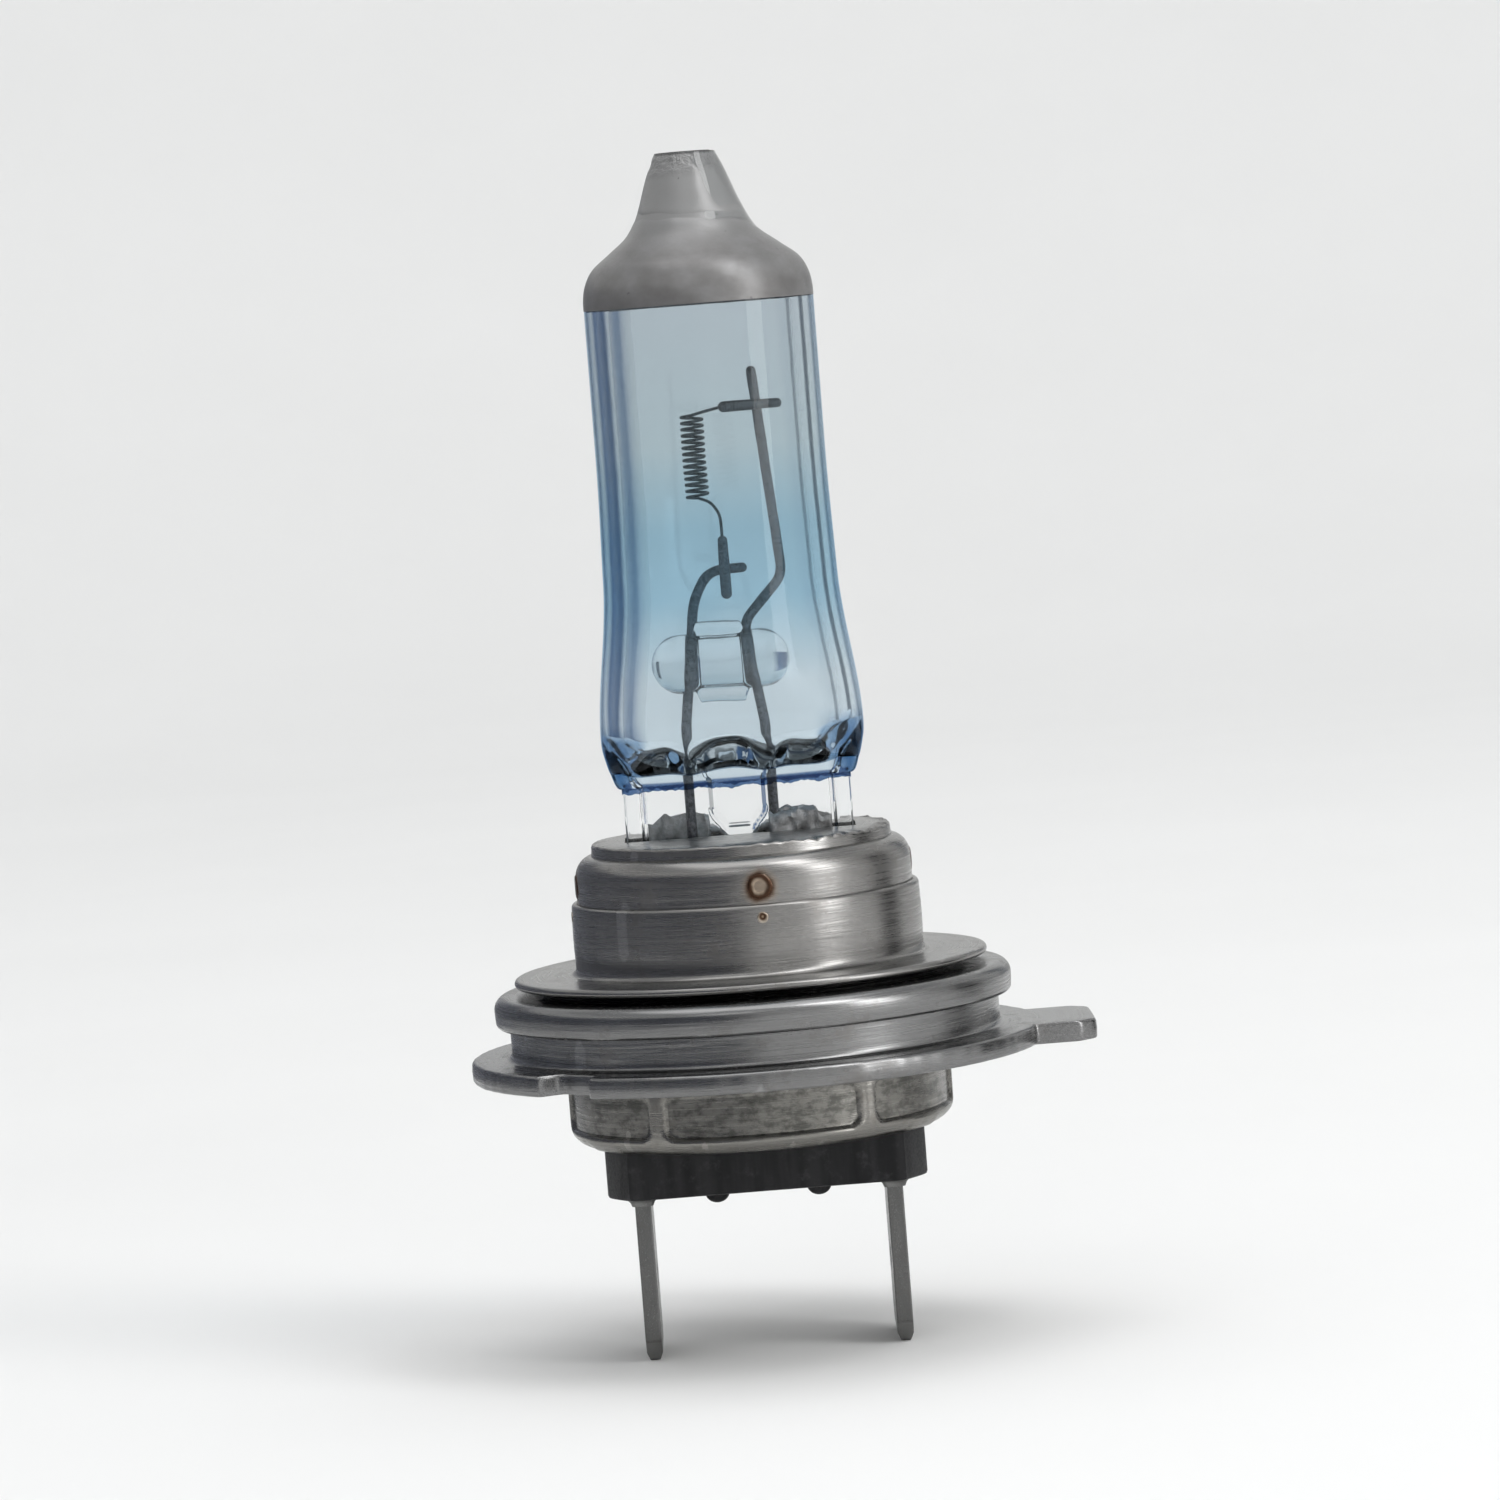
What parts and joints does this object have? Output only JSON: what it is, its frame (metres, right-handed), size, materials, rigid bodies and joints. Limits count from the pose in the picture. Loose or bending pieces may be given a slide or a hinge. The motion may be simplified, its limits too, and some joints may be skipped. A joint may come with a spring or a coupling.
{
  "type": "halogen headlight bulb",
  "caption": "Single-filament halogen headlight bulb: blue-tinted quartz tube with a grey tip, clamped in a round prefocus base with a locating tab and blade contacts.",
  "frame": {"origin": "on the bulb's axis in the seat plane, which is the upper face of the collar's lip", "axes": "+Z along the bulb's axis towards the glass tip, +X towards the locating tab, the two contact blades stand at -X and +X"},
  "size_m": [0.0308, 0.0282, 0.0591],
  "materials": {
    "quartz_glass": "clear quartz, slightly wavy at the pinch",
    "bead_glass": "clear quartz bead",
    "blue_filter": "thin blue interference coating",
    "tip_paint": "matte silver-grey heat-proof paint",
    "tungsten": "dark tungsten wire",
    "molybdenum": "dull molybdenum",
    "foil": "thin molybdenum foil",
    "stainless_clip": "matte stainless steel with rough cut edges",
    "stainless_cup": "deep-drawn stainless steel with fine draw lines",
    "heat_tinted_weld": "laser weld with a brown heat tint",
    "stainless_flange": "pressed stainless steel",
    "stainless_shell": "satin stainless steel",
    "black_insulator": "moulded heat-proof plastic, fine grain",
    "contact_blade": "nickel-plated strip"
  },
  "bodies": {
    "root": {"glass_envelope": "quartz_glass", "tip_coating": "tip_paint", "blue_coating": "blue_filter", "filament": "tungsten", "upper_leg_sleeve": "molybdenum", "lower_leg_sleeve": "molybdenum", "long_lead_wire": "molybdenum", "short_lead_wire": "molybdenum", "bridge_bead": "bead_glass", "long_lead_foil": "foil", "short_lead_foil": "foil", "long_outer_lead": "molybdenum", "short_outer_lead": "molybdenum", "front_grip_clip": "stainless_clip", "rear_grip_clip": "stainless_clip", "pinch_holder": "stainless_cup", "lamp_cup": "stainless_cup", "weld_nuggets": "heat_tinted_weld", "alignment_collar": "stainless_cup", "seat_lip": "stainless_cup", "prefocus_ring": "stainless_flange", "locating_flange": "stainless_flange", "base_shell": "stainless_shell", "insulator_block": "black_insulator", "left_contact_blade": "contact_blade", "right_contact_blade": "contact_blade"}
  },
  "joints": []
}
